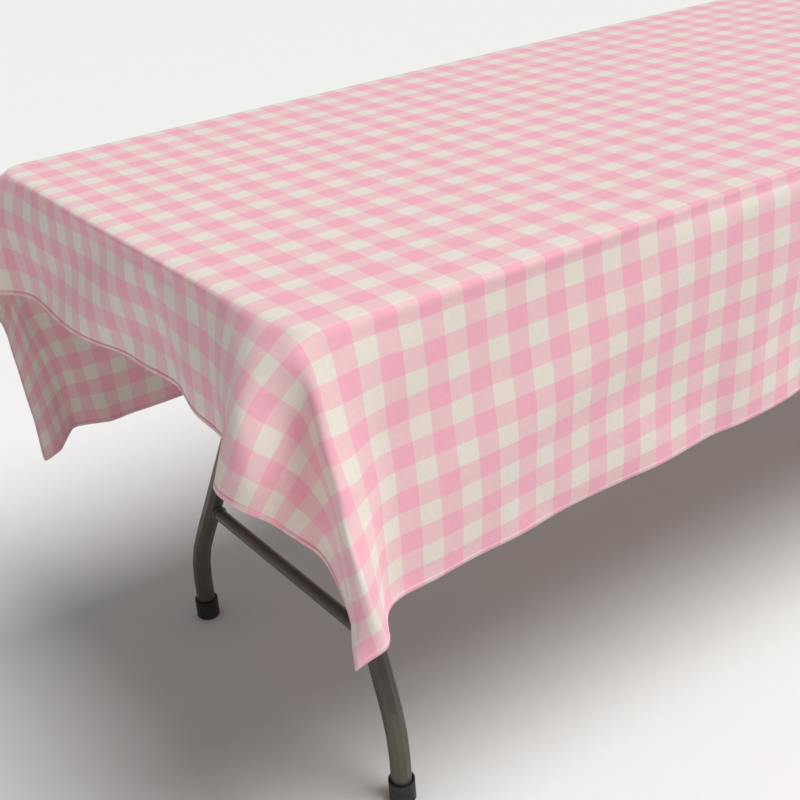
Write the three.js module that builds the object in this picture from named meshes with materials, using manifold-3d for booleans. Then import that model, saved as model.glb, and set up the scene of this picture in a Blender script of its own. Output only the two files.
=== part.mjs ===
// A folding banquet table with a gingham tablecloth laid over it.
// Millimetres, +Z up, +X along the table. The origin is on the floor, under the middle of the table.
import * as THREE from "three";
import { mergeVertices } from "three/addons/utils/BufferGeometryUtils.js";
import Module from "manifold-3d";

// Driving dimensions: table top
const TOP_LENGTH = 1829;
const TOP_WIDTH = 762;
const TOP_HEIGHT = 736;
const TOP_THICKNESS = 45;
const TOP_CORNER_RADIUS = 30;
const TOP_EDGE_ROUND = 4;
const PANEL_THICKNESS = 25; // the top inside its rim
const RIM_WIDTH = 28;

// Driving dimensions: rails under the top
const RAIL_WIDTH = 25;
const RAIL_HEIGHT = 30;
const RAIL_WALL = 2;
const RAIL_TO_RIM = 12;
const RAIL_END_TO_RIM = 45;
const PLUG_THICKNESS = 3;
const SCREWS_PER_RAIL = 4;
const SCREW_TO_RAIL_END = 118;
const SCREW_RADIUS = 2.2;
const SCREW_HEAD_RADIUS = 5.5;
const SCREW_HEAD_HEIGHT = 3;
const SCREW_BITE = 12; // how far a screw goes into the top

// Driving dimensions: leg frames
const FOOT_TO_END = 147; // from the table's end to the middle of a foot
const FOOT_TO_EDGE = 120; // from the table's long edge to the middle of a foot
const LEG_RADIUS = 14;
const LEG_WALL = 1.5;
const LEG_LEAN = 25; // how much nearer the end the feet stand than the pivot
const LOWER_BEND_HEIGHT = 110;
const UPPER_BEND_HEIGHT = 430;
const UPPER_SPREAD = 202; // between the upper stretches of the two legs
const BEND_LENGTH = 45; // of straight tube taken up by each half of a bend
const PIVOT_RADIUS = 11;
const PIVOT_END_PLAY = 2; // between the pivot tube and the rails' outer walls
const CROSSBAR_RADIUS = 9.5;
const CROSSBAR_HEIGHT = 218;
const UPPER_BAR_HEIGHT = 345;
const TUBE_WALL = 1.5;
const CAP_WALL = 3;
const CAP_FLOOR = 4;
const CAP_HEIGHT = 32;
const CAP_CHAMFER = 2;

// Driving dimensions: folding brace between a leg frame and the top
const BRACE_REACH = 250; // from the leg pivot to the brace's pivot under the top
const LINK_WIDTH = 18;
const LINK_THICKNESS = 3;
const LINK_SPACING = 4; // between the two links of a brace, across the table
const RIVET_RADIUS = 3;
const RIVET_HEAD_RADIUS = 5;
const RIVET_HEAD = 1.8;
const EYE_WALL = 6;
const COLLAR_WIDTH = 6;
const COLLAR_WALL = 3;
const BRACKET_LENGTH = 46;
const BRACKET_FLANGE = 30;

// Driving dimensions: tablecloth
const CLOTH_THICKNESS = 1.5;
const DROP_FRONT = 320;
const DROP_BACK = 415;
const DROP_END = 170;
const DROP_LEAN = 1.2; // degrees out from vertical
const CORNER_REACH = 95; // how far the cloth's corners stand out past the long edges
const HEM_HEIGHT = 12;
const HEM_THICKNESS = 3;

const GAP = 0.3; // between pieces that touch
const CLOTH_CLEARANCE = 0.8; // between the cloth's drops and the top's edge
const ROUND_SIDES = 16;

// Worked-out levels and places
const underside = TOP_HEIGHT - PANEL_THICKNESS;
const railY = TOP_WIDTH / 2 - RIM_WIDTH - RAIL_TO_RIM - RAIL_WIDTH / 2;
const railZ = underside - GAP - RAIL_HEIGHT / 2;
const railLength = TOP_LENGTH - 2 * (RIM_WIDTH + RAIL_END_TO_RIM);
const pivotZ = railZ;
const footX = TOP_LENGTH / 2 - FOOT_TO_END;
const pivotX = footX - LEG_LEAN;
const footY = TOP_WIDTH / 2 - FOOT_TO_EDGE;
const legTopY = UPPER_SPREAD / 2;
const radians = THREE.MathUtils.degToRad;

// Materials
const surface = (color, roughness, metalness = 0) =>
  new THREE.MeshStandardMaterial({ color, roughness, metalness });
const materials = {
  plastic: surface("#e6e4df", 0.6),
  paint: surface("#4b443d", 0.45, 0.6),
  rubber: surface("#1b1b1c", 0.7),
  zinc: surface("#b9bcc0", 0.35, 0.9),
  cloth: surface("#f3c3d6", 0.85),
  hem: surface("#f0b4cc", 0.85),
};

const wasm = await Module();
wasm.setup();

// Booleans on three.js geometries
function toSolid(geometry) {
  const bare = geometry.index ? geometry.toNonIndexed() : geometry.clone();
  bare.deleteAttribute("normal");
  bare.deleteAttribute("uv");
  const merged = mergeVertices(bare, 1e-3);
  return new wasm.Manifold(
    new wasm.Mesh({
      numProp: 3,
      vertProperties: merged.attributes.position.array,
      triVerts: new Uint32Array(merged.index.array),
    }),
  );
}

function toGeometry(solid) {
  const mesh = solid.getMesh();
  const geometry = new THREE.BufferGeometry();
  geometry.setAttribute("position", new THREE.BufferAttribute(mesh.vertProperties, 3));
  geometry.setIndex(new THREE.BufferAttribute(mesh.triVerts, 1));
  return geometry;
}

function cut(geometry, tools) {
  let solid = toSolid(geometry);
  for (const tool of tools) solid = solid.subtract(toSolid(tool));
  return toGeometry(solid);
}

// Shapes
function roundedRectangle(length, width, radius) {
  const shape = new THREE.Shape();
  const x = length / 2;
  const y = width / 2;
  shape.moveTo(-x + radius, -y);
  shape.lineTo(x - radius, -y);
  shape.absarc(x - radius, -y + radius, radius, -Math.PI / 2, 0);
  shape.lineTo(x, y - radius);
  shape.absarc(x - radius, y - radius, radius, 0, Math.PI / 2);
  shape.lineTo(-x + radius, y);
  shape.absarc(-x + radius, y - radius, radius, Math.PI / 2, Math.PI);
  shape.lineTo(-x, -y + radius);
  shape.absarc(-x + radius, -y + radius, radius, Math.PI, 1.5 * Math.PI);
  return shape;
}

function slab(shape, bottom, top, round = 0) {
  const geometry = new THREE.ExtrudeGeometry(shape, {
    depth: top - bottom - 2 * round,
    bevelEnabled: round > 0,
    bevelThickness: round,
    bevelSize: round,
    bevelOffset: -round,
    bevelSegments: 2,
    curveSegments: 6,
  });
  return geometry.translate(0, 0, bottom + round);
}

function ring(outer, inner) {
  const shape = new THREE.Shape().absarc(0, 0, outer, 0, 2 * Math.PI);
  shape.holes.push(new THREE.Path().absarc(0, 0, inner, 0, 2 * Math.PI, true));
  return shape;
}

// A cylinder along Y from y0 to y1, its axis through x and z
function rodY(radius, x, z, y0, y1, sides = ROUND_SIDES) {
  return new THREE.CylinderGeometry(radius, radius, y1 - y0, sides).translate(x, (y0 + y1) / 2, z);
}

// A pipe along Y with open ends
function pipeY(radius, wall, x, z, y0, y1) {
  const section = ring(radius, radius - wall);
  const settings = { depth: y1 - y0, bevelEnabled: false, curveSegments: ROUND_SIDES / 2 };
  return new THREE.ExtrudeGeometry(section, settings).rotateX(Math.PI / 2).translate(x, y1, z);
}

const group = new THREE.Group();

function add(parent, name, geometry, material) {
  const mesh = new THREE.Mesh(geometry, material);
  mesh.name = name;
  parent.add(mesh);
  return mesh;
}

const sides = [
  ["front", -1],
  ["back", 1],
];
const ends = [
  ["left", -1],
  ["right", 1],
];

// Table top: a moulded panel with a rim round its underside
function screwPlaces() {
  const places = [];
  const step = (railLength - 2 * SCREW_TO_RAIL_END) / (SCREWS_PER_RAIL - 1);
  for (let i = 0; i < SCREWS_PER_RAIL; i++) places.push((i - (SCREWS_PER_RAIL - 1) / 2) * step);
  return places;
}

function tabletop() {
  const outside = roundedRectangle(TOP_LENGTH, TOP_WIDTH, TOP_CORNER_RADIUS);
  const inside = roundedRectangle(
    TOP_LENGTH - 2 * RIM_WIDTH,
    TOP_WIDTH - 2 * RIM_WIDTH,
    TOP_CORNER_RADIUS / 2,
  );
  const pocket = slab(inside, TOP_HEIGHT - TOP_THICKNESS - 1, underside);
  const pilots = [];
  for (const [, side] of sides)
    for (const x of screwPlaces()) {
      const depth = SCREW_BITE + 2 * GAP;
      const pilot = new THREE.CylinderGeometry(SCREW_RADIUS + GAP, SCREW_RADIUS + GAP, 2 * depth, 8);
      pilots.push(pilot.rotateX(Math.PI / 2).translate(x, side * railY, underside));
    }
  const body = slab(outside, TOP_HEIGHT - TOP_THICKNESS, TOP_HEIGHT, TOP_EDGE_ROUND);
  add(group, "tabletop", cut(body, [pocket, ...pilots]), materials.plastic);
}

// Rails: square tube along both long sides, screwed up into the top
function rail(sideName, side) {
  const section = new THREE.Shape();
  const y = RAIL_WIDTH / 2;
  const z = RAIL_HEIGHT / 2;
  section.moveTo(-z, -y).lineTo(z, -y).lineTo(z, y).lineTo(-z, y);
  const bore = new THREE.Path();
  const yIn = y - RAIL_WALL;
  const zIn = z - RAIL_WALL;
  bore.moveTo(-zIn, -yIn).lineTo(-zIn, yIn).lineTo(zIn, yIn).lineTo(zIn, -yIn);
  section.holes.push(bore);
  const tube = new THREE.ExtrudeGeometry(section, { depth: railLength, bevelEnabled: false });
  tube.rotateY(Math.PI / 2).translate(-railLength / 2, side * railY, railZ);
  const inner = side * (railY - RAIL_WIDTH / 2);
  const holes = screwPlaces().map((x) =>
    new THREE.CylinderGeometry(SCREW_RADIUS + GAP, SCREW_RADIUS + GAP, 2 * RAIL_HEIGHT, 8)
      .rotateX(Math.PI / 2)
      .translate(x, side * railY, railZ),
  );
  for (const [, end] of ends)
    holes.push(
      rodY(PIVOT_RADIUS + GAP, end * pivotX, pivotZ, inner - RAIL_WIDTH / 2, inner + RAIL_WIDTH / 2),
    );
  add(group, "rail_" + sideName, cut(tube, holes), materials.paint);

  for (const [endName, end] of ends) {
    const plug = new THREE.BoxGeometry(PLUG_THICKNESS, RAIL_WIDTH, RAIL_HEIGHT);
    plug.translate(end * (railLength / 2 + GAP + PLUG_THICKNESS / 2), side * railY, railZ);
    add(group, "rail_plug_" + sideName + "_" + endName, plug, materials.rubber);
  }
}

function screws(sideName, side) {
  const railBottom = railZ - RAIL_HEIGHT / 2;
  const tip = underside + SCREW_BITE;
  const headTop = railBottom - GAP;
  const profile = [
    new THREE.Vector2(0, headTop - SCREW_HEAD_HEIGHT),
    new THREE.Vector2(SCREW_HEAD_RADIUS, headTop - SCREW_HEAD_HEIGHT),
    new THREE.Vector2(SCREW_HEAD_RADIUS, headTop),
    new THREE.Vector2(SCREW_RADIUS, headTop),
    new THREE.Vector2(SCREW_RADIUS, tip - SCREW_RADIUS),
    new THREE.Vector2(0, tip),
  ];
  screwPlaces().forEach((x, i) => {
    const screw = new THREE.LatheGeometry(profile, 10).rotateX(Math.PI / 2);
    screw.translate(x, side * railY, 0);
    add(group, "rail_screw_" + sideName + "_" + (i + 1), screw, materials.zinc);
  });
}

// Leg frame: two bent legs welded to a pivot tube, with a low and a high crossbar.
// It is drawn for the end at +X and turned round for the other.
class BentPath extends THREE.CurvePath {
  constructor(points, bendLength) {
    super();
    let from = points[0];
    for (let i = 1; i < points.length - 1; i++) {
      const corner = points[i];
      const start = corner.clone().add(points[i - 1].clone().sub(corner).setLength(bendLength));
      const finish = corner.clone().add(points[i + 1].clone().sub(corner).setLength(bendLength));
      this.add(new THREE.LineCurve3(from, start));
      this.add(new THREE.QuadraticBezierCurve3(start, corner, finish));
      from = finish;
    }
    this.add(new THREE.LineCurve3(from, points[points.length - 1]));
  }
}

// The middle line of a leg, from the floor of its cap to under the pivot tube
function legPath(side) {
  return new BentPath(
    [
      new THREE.Vector3(footX, side * footY, CAP_FLOOR + GAP),
      new THREE.Vector3(footX, side * footY, LOWER_BEND_HEIGHT),
      new THREE.Vector3(pivotX, side * legTopY, UPPER_BEND_HEIGHT),
      new THREE.Vector3(pivotX, side * legTopY, pivotZ - PIVOT_RADIUS - GAP),
    ],
    BEND_LENGTH,
  );
}

// The point of that line at a height
function legAt(z) {
  const path = legPath(1);
  let low = 0;
  let high = 1;
  for (let i = 0; i < 30; i++) {
    const middle = (low + high) / 2;
    if (path.getPointAt(middle).z < z) low = middle;
    else high = middle;
  }
  return path.getPointAt(low);
}

function leg(frame, name, side) {
  const tube = new THREE.ExtrudeGeometry(ring(LEG_RADIUS, LEG_RADIUS - LEG_WALL), {
    steps: 22,
    curveSegments: 5,
    bevelEnabled: false,
    extrudePath: legPath(side),
  });
  add(frame, "leg_" + name, tube, materials.paint);
}

function footCap(frame, name, side) {
  const inner = (LEG_RADIUS + GAP) / Math.cos(Math.PI / ROUND_SIDES);
  const outer = inner + CAP_WALL;
  const profile = [
    new THREE.Vector2(0, 0),
    new THREE.Vector2(outer - CAP_CHAMFER, 0),
    new THREE.Vector2(outer, CAP_CHAMFER),
    new THREE.Vector2(outer, CAP_HEIGHT),
    new THREE.Vector2(inner, CAP_HEIGHT),
    new THREE.Vector2(inner, CAP_FLOOR),
    new THREE.Vector2(0, CAP_FLOOR),
  ];
  const cap = new THREE.LatheGeometry(profile, ROUND_SIDES).rotateX(Math.PI / 2);
  add(frame, "foot_cap_" + name, cap.translate(footX, side * footY, 0), materials.rubber);
}

// A bar across the frame, ending on the inner faces of the legs
function crossbar(frame, name, z) {
  const below = legAt(z - CROSSBAR_RADIUS);
  const above = legAt(z + CROSSBAR_RADIUS);
  const tilt = Math.hypot(1, (below.y - above.y) / (2 * CROSSBAR_RADIUS));
  const nearest = Math.min(below.y, above.y) - LEG_RADIUS * tilt - GAP;
  const bar = pipeY(CROSSBAR_RADIUS, TUBE_WALL, legAt(z).x, z, -nearest, nearest);
  add(frame, name, bar, materials.paint);
}

function pivotTube(frame, name) {
  const reach = railY + RAIL_WIDTH / 2 - RAIL_WALL - PIVOT_END_PLAY;
  const tube = pipeY(PIVOT_RADIUS, TUBE_WALL, pivotX, pivotZ, -reach, reach);
  add(frame, name, tube, materials.paint);
}

// Brace: a link hinged on the high crossbar and one hinged under the top, meeting at a knee.
// Standing they are in line, and folded they lie over each other: that sets both lengths.
const pivot = new THREE.Vector2(pivotX, pivotZ);
const hold = new THREE.Vector2(legAt(UPPER_BAR_HEIGHT).x, UPPER_BAR_HEIGHT);
const armOut = hold.clone().sub(pivot);
const foldedHold = pivot.clone().add(new THREE.Vector2(armOut.y, -armOut.x));
const anchor = new THREE.Vector2(pivotX - BRACE_REACH, foldedHold.y);
const span = hold.distanceTo(anchor);
const foldedSpan = foldedHold.distanceTo(anchor);
const lowerLength = (span + foldedSpan) / 2;
const knee = hold.clone().lerp(anchor, lowerLength / span);

// A flat bar in the XZ plane from one point to another, with a round hole at each end
function link(from, to, y0, y1, fromEye, fromHole, toHole) {
  const length = from.distanceTo(to);
  const half = LINK_WIDTH / 2;
  const bar = new THREE.Shape();
  const neck = Math.asin(Math.min(1, half / fromEye));
  bar.absarc(0, 0, fromEye, neck, 2 * Math.PI - neck);
  bar.absarc(length, 0, half, -Math.PI / 2, Math.PI / 2);
  bar.holes.push(new THREE.Path().absarc(0, 0, fromHole, 0, 2 * Math.PI, true));
  bar.holes.push(new THREE.Path().absarc(length, 0, toHole, 0, 2 * Math.PI, true));
  const settings = { depth: y1 - y0, bevelEnabled: false, curveSegments: 8 };
  const geometry = new THREE.ExtrudeGeometry(bar, settings).rotateX(Math.PI / 2);
  const angle = Math.atan2(to.y - from.y, to.x - from.x);
  return geometry.rotateY(-angle).translate(from.x, y1, from.y);
}

// A rivet along Y: a shank with a head at each end
function rivet(at, y0, y1) {
  const profile = [
    new THREE.Vector2(0, y0 - RIVET_HEAD),
    new THREE.Vector2(RIVET_HEAD_RADIUS, y0 - RIVET_HEAD),
    new THREE.Vector2(RIVET_HEAD_RADIUS, y0),
    new THREE.Vector2(RIVET_RADIUS, y0),
    new THREE.Vector2(RIVET_RADIUS, y1),
    new THREE.Vector2(RIVET_HEAD_RADIUS, y1),
    new THREE.Vector2(RIVET_HEAD_RADIUS, y1 + RIVET_HEAD),
    new THREE.Vector2(0, y1 + RIVET_HEAD),
  ];
  return new THREE.LatheGeometry(profile, 12).translate(at.x, 0, at.y);
}

function brace(frame, endName) {
  const lowerY0 = LINK_SPACING / 2;
  const lowerY1 = lowerY0 + LINK_THICKNESS;
  const upperY1 = -LINK_SPACING / 2;
  const upperY0 = upperY1 - LINK_THICKNESS;
  const hole = RIVET_RADIUS + GAP;

  const eyeHole = CROSSBAR_RADIUS + GAP;
  const lower = link(hold, knee, lowerY0, lowerY1, eyeHole + EYE_WALL, eyeHole, hole);
  add(frame, "brace_lower_link_" + endName, lower, materials.paint);
  const upper = link(anchor, knee, upperY0, upperY1, LINK_WIDTH / 2, hole, hole);
  add(frame, "brace_upper_link_" + endName, upper, materials.paint);

  for (const [place, y0] of [
    ["front", lowerY0 - GAP - COLLAR_WIDTH],
    ["back", lowerY1 + GAP],
  ]) {
    const bore = CROSSBAR_RADIUS + GAP;
    const collar = pipeY(bore + COLLAR_WALL, COLLAR_WALL, hold.x, hold.y, y0, y0 + COLLAR_WIDTH);
    add(frame, "brace_collar_" + place + "_" + endName, collar, materials.zinc);
  }

  // The knee rivet stays with the lower link and stops short of the upper one
  const kneeProfile = [
    new THREE.Vector2(0, upperY1 + GAP),
    new THREE.Vector2(RIVET_HEAD_RADIUS, upperY1 + GAP),
    new THREE.Vector2(RIVET_HEAD_RADIUS, lowerY0 - GAP),
    new THREE.Vector2(RIVET_RADIUS, lowerY0 - GAP),
    new THREE.Vector2(RIVET_RADIUS, lowerY1 + GAP),
    new THREE.Vector2(RIVET_HEAD_RADIUS, lowerY1 + GAP),
    new THREE.Vector2(RIVET_HEAD_RADIUS, lowerY1 + GAP + RIVET_HEAD),
    new THREE.Vector2(0, lowerY1 + GAP + RIVET_HEAD),
  ];
  const kneeRivet = new THREE.LatheGeometry(kneeProfile, 12).translate(knee.x, 0, knee.y);
  add(frame, "brace_knee_rivet_" + endName, kneeRivet, materials.zinc);

  const tabY1 = upperY0 - GAP;
  const tabY0 = tabY1 - LINK_THICKNESS;
  const tabBottom = anchor.y - LINK_WIDTH / 2;
  const tabTop = underside - GAP;
  const tab = new THREE.BoxGeometry(BRACKET_LENGTH, LINK_THICKNESS, tabTop - tabBottom);
  tab.translate(anchor.x, (tabY0 + tabY1) / 2, (tabTop + tabBottom) / 2);
  const flange = new THREE.BoxGeometry(BRACKET_LENGTH, BRACKET_FLANGE, LINK_THICKNESS);
  flange.translate(anchor.x, tabY1 - BRACKET_FLANGE / 2, tabTop - LINK_THICKNESS / 2);
  const drill = rodY(hole, anchor.x, anchor.y, tabY0 - 1, tabY1 + 1, 12);
  const bracket = toSolid(tab).add(toSolid(flange)).subtract(toSolid(drill));
  add(frame, "brace_bracket_" + endName, toGeometry(bracket), materials.zinc);

  const pin = rivet(anchor, tabY0 - GAP, upperY1 + GAP);
  add(frame, "brace_pin_" + endName, pin, materials.zinc);
}

function legFrame(endName, end) {
  const frame = new THREE.Group();
  // Turned round for the end at -X, so its own front is the table's back
  frame.rotation.z = end > 0 ? 0 : Math.PI;
  for (const [sideName, side] of sides) {
    leg(frame, sideName + "_" + endName, side * end);
    footCap(frame, sideName + "_" + endName, side * end);
  }
  crossbar(frame, "crossbar_low_" + endName, CROSSBAR_HEIGHT);
  crossbar(frame, "crossbar_high_" + endName, UPPER_BAR_HEIGHT);
  pivotTube(frame, "pivot_tube_" + endName);
  brace(frame, endName);
  group.add(frame);
}

// Tablecloth: a closed sheet of even thickness over a grid of points.
// edgeNormals, where given, are the ways its first and last columns face.
function sheet(grid, thickness, edgeNormals = []) {
  const rows = grid.length;
  const columns = grid[0].length;
  const { clamp } = THREE.MathUtils;
  const at = (i, j) => grid[clamp(i, 0, rows - 1)][clamp(j, 0, columns - 1)];
  const positions = [];
  for (const offset of [0, thickness])
    for (let i = 0; i < rows; i++)
      for (let j = 0; j < columns; j++) {
        const down = at(i + 1, j).clone().sub(at(i - 1, j));
        const across = at(i, j + 1).clone().sub(at(i, j - 1));
        const edge = j === 0 ? edgeNormals[0] : j === columns - 1 ? edgeNormals[1] : null;
        const normal = edge || down.cross(across).normalize();
        positions.push(...at(i, j).clone().addScaledVector(normal, offset).toArray());
      }
  const index = (layer, i, j) => layer * rows * columns + i * columns + j;
  const faces = [];
  const quad = (a, b, c, d) => faces.push(a, c, b, a, d, c);
  for (let i = 0; i < rows - 1; i++)
    for (let j = 0; j < columns - 1; j++) {
      quad(index(0, i, j), index(0, i + 1, j), index(0, i + 1, j + 1), index(0, i, j + 1));
      quad(index(1, i, j), index(1, i, j + 1), index(1, i + 1, j + 1), index(1, i + 1, j));
    }
  for (let i = 0; i < rows - 1; i++) {
    quad(index(0, i, 0), index(1, i, 0), index(1, i + 1, 0), index(0, i + 1, 0));
    const last = columns - 1;
    quad(index(0, i, last), index(0, i + 1, last), index(1, i + 1, last), index(1, i, last));
  }
  for (let j = 0; j < columns - 1; j++) {
    quad(index(0, 0, j), index(0, 0, j + 1), index(1, 0, j + 1), index(1, 0, j));
    const last = rows - 1;
    quad(index(0, last, j), index(1, last, j), index(1, last, j + 1), index(0, last, j + 1));
  }
  const geometry = new THREE.BufferGeometry();
  geometry.setAttribute("position", new THREE.Float32BufferAttribute(positions, 3));
  geometry.setIndex(faces);
  return geometry;
}

const lean = radians(DROP_LEAN);

// One straight drop: outward is the way it faces, along its edge
function drop(name, outward, edge, halfLength, depth) {
  const along = new THREE.Vector3(-outward.y, outward.x, 0);
  const point = (share, below) =>
    along
      .clone()
      .multiplyScalar(share * halfLength)
      .addScaledVector(outward, edge + CLOTH_CLEARANCE + below * Math.sin(lean))
      .setZ(TOP_HEIGHT - below * Math.cos(lean));
  const row = (below) => [point(-1, below), point(1, below)];
  const panelDepth = depth - HEM_HEIGHT - GAP;
  const panel = sheet([row(0), row(panelDepth)], CLOTH_THICKNESS);
  add(group, "cloth_drop_" + name, panel, materials.cloth);
  const hem = sheet([row(depth - HEM_HEIGHT), row(depth)], HEM_THICKNESS);
  add(group, "hem_" + name, hem, materials.hem);
}

// One corner: the sheet flares out round the corner of the top and hangs to a point
function corner(name, x, y, dropEnd, dropSide) {
  const steps = 12;
  const centre = new THREE.Vector3(
    x * (TOP_LENGTH / 2 - TOP_CORNER_RADIUS),
    y * (TOP_WIDTH / 2 - TOP_CORNER_RADIUS),
    TOP_HEIGHT,
  );
  const tipAngle = Math.atan2(dropEnd, dropSide);
  const tipOut = (TOP_CORNER_RADIUS + CORNER_REACH) / Math.cos(tipAngle);
  const flare = Math.asin(
    (tipOut - TOP_CORNER_RADIUS - CLOTH_CLEARANCE) / Math.hypot(dropEnd, dropSide),
  );
  const angles = [];
  for (let i = 0; i <= steps; i++) angles.push((i / steps) * (Math.PI / 2));
  const nearest = angles.reduce((a, b) => (Math.abs(b - tipAngle) < Math.abs(a - tipAngle) ? b : a));
  angles[angles.indexOf(nearest)] = tipAngle;
  const row = (share) =>
    angles.map((angle) => {
      const reach = Math.min(dropSide / Math.cos(angle), dropEnd / Math.max(Math.sin(angle), 1e-6));
      const tilt = THREE.MathUtils.lerp(lean, flare, Math.sin(2 * angle) / Math.sin(2 * tipAngle));
      const out = TOP_CORNER_RADIUS + CLOTH_CLEARANCE + share * reach * Math.sin(tilt);
      const below = CLOTH_THICKNESS * Math.sin(tilt) + share * reach * Math.cos(tilt);
      return new THREE.Vector3(x * Math.sin(angle) * out, y * Math.cos(angle) * out, 0)
        .add(centre)
        .setZ(TOP_HEIGHT - below);
    });
  const grid = [0, 0.5, 1].map(row);
  const edgeNormals = [new THREE.Vector3(0, y, 0), new THREE.Vector3(x, 0, 0)];
  if (x * y > 0) [edgeNormals, ...grid].forEach((line) => line.reverse());
  add(group, "cloth_corner_" + name, sheet(grid, CLOTH_THICKNESS, edgeNormals), materials.cloth);
}

function tablecloth() {
  const margin = CLOTH_CLEARANCE + CLOTH_THICKNESS;
  const outline = roundedRectangle(
    TOP_LENGTH + 2 * margin,
    TOP_WIDTH + 2 * margin,
    TOP_CORNER_RADIUS + margin,
  );
  const top = slab(outline, TOP_HEIGHT + GAP, TOP_HEIGHT + GAP + CLOTH_THICKNESS);
  add(group, "cloth_top", top, materials.cloth);

  const alongSide = TOP_LENGTH / 2 - TOP_CORNER_RADIUS - GAP;
  const alongEnd = TOP_WIDTH / 2 - TOP_CORNER_RADIUS - GAP;
  const sideDrops = { front: DROP_FRONT, back: DROP_BACK };
  for (const [name, side] of sides)
    drop(name, new THREE.Vector3(0, side, 0), TOP_WIDTH / 2, alongSide, sideDrops[name]);
  for (const [name, end] of ends)
    drop(name, new THREE.Vector3(end, 0, 0), TOP_LENGTH / 2, alongEnd, DROP_END);
  for (const [sideName, side] of sides)
    for (const [endName, end] of ends)
      corner(sideName + "_" + endName, end, side, DROP_END, sideDrops[sideName]);
}

tabletop();
for (const [name, side] of sides) {
  rail(name, side);
  screws(name, side);
}
for (const [name, end] of ends) legFrame(name, end);
tablecloth();

export default group;
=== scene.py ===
"""The looks of a gingham tablecloth on a folding table, built around its CAD frame."""

import math

import bmesh
import bpy
import numpy as np
from bpy.props import FloatProperty, FloatVectorProperty, IntProperty, PointerProperty
from mathutils import Matrix, Vector, noise
from mathutils.bvhtree import BVHTree
from mathutils.interpolate import poly_3d_calc


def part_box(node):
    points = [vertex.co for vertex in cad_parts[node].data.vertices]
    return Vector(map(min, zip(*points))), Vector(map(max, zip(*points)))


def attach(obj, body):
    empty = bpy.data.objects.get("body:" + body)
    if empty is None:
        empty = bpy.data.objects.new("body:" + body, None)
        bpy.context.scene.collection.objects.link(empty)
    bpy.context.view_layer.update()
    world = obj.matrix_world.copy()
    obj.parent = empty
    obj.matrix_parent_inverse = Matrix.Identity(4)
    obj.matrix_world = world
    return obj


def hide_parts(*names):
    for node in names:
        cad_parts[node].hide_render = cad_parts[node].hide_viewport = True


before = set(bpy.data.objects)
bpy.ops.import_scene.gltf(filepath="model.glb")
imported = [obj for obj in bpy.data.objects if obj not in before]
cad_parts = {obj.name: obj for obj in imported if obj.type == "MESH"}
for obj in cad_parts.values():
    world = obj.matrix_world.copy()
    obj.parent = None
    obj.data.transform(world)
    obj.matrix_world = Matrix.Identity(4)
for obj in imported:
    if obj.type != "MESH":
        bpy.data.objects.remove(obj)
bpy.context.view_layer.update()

bl_info = {
    "name": "Tablecloth on a folding table",
    "version": (1, 0, 0),
    "blender": (4, 5, 0),
    "location": "3D View > Sidebar > Tablecloth",
    "description": "Drapes a gingham cloth over a folding table and gives each part its finish",
    "category": "Object",
}

MM = 0.001
STITCH_RUN = 40  # stitches sewn in one go
TOP_CORNER = 0.03  # radius of the table top's corners, seen from above
PINNED_WITHIN = 0.0045  # the cloth is pinned until this far past the edge
HANGS_FROM = 0.002  # the corner folds start this far past the edge
FOLD_REACH = 0.24  # how far along an edge a corner's folds reach
FOLD_FADE = 0.08  # over this length they give way to cloth that simply hangs
HANGING_LEAN = math.radians(1.2)  # how far a drop leans out from upright
WAVE_HEIGHT = 0.03  # waves of a drop, as a share of how far down it is
WAVES_PER_METRE = 5.5
LEG_TO_PIVOT = 1.27  # a leg tube's radius to its pivot tube's
SOFTBOX_AIM = Vector((-0.32, 0.34, -0.88))
SOFTBOX_SPREAD = math.radians(40)
FLOOR_GAP = 0.0005  # keeps the floor clear of the feet's own faces
TOP_LOW, TOP_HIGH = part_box("tabletop")
HALF_LENGTH = TOP_HIGH.x
HALF_WIDTH = TOP_HIGH.y
TOP_HEIGHT = TOP_HIGH.z
CLOTH_NODES = [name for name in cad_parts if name.startswith(("cloth_", "hem_"))]

# How the cloth hangs at a corner, in mm. Each row is a place on the flat cloth, out past the
# table's end and out past its side, and the same place hung: out, out and down.
# The table's corner is round, so the cloth turns down inside its square corner.
ROUND_CORNER = (
    (0, 0, -2, -3, 8),
    (-15, 0, -16, -2, 5),
    (0, -15, -2, -16, 5),
    (-11, -11, -11, -11, 0.6),
)
# In front, one ridge stands out by the end and one by the side, with a valley between them.
FRONT_FOLDS = (
    (15, 10, 11, 7, 18),
    (28, 23, 12, 7, 35),
    (42, 35, 12, 6, 53),
    (69, 60, 9, -3, 91),
    (96, 85, 15, -5, 127),
    (123, 109, 15, -10, 163),
    (150, 134, 18, -16, 199),
    (96, 134, -4, 2, 165),
    (123, 158, -3, 0, 200),
    (150, 183, -8, -8, 236),
    (170, 240, -8, 20, 293),
    (170, 320, -4, 45, 352),
    (42, -14, 32, -15, 27),
    (69, 10, 47, -4, 54),
    (96, -14, 70, -13, 66),
    (96, 35, 48, 4, 90),
    (150, 35, 78, 5, 133),
    (170, -22, 86, -46, 146),
    (170, -100, 30, -110, 163),
    (-12, 35, -14, 12, 34),
    (-12, 85, -12, 29, 82),
    (-12, 134, -16, 42, 130),
    (15, 60, 6, 22, 57),
    (15, 109, 8, 41, 101),
    (15, 158, 6, 61, 146),
    (42, 183, 14, 66, 176),
    (42, 233, 13, 82, 224),
    (69, 257, 11, 71, 261),
    (42, 282, 0, 79, 274),
    (69, 307, 8, 72, 307),
    (90, 320, 20, 75, 324),
    (42, 320, -13, 76, 314),
    (-12, 183, -26, 40, 181),
    (-12, 233, -28, 46, 230),
    (-12, 282, -33, 42, 279),
    (-12, 320, -38, 40, 317),
    (-66, 134, -67, 8, 133),
    (-66, 233, -67, 9, 232),
    (-66, 320, -67, 10, 318),
)
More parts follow.
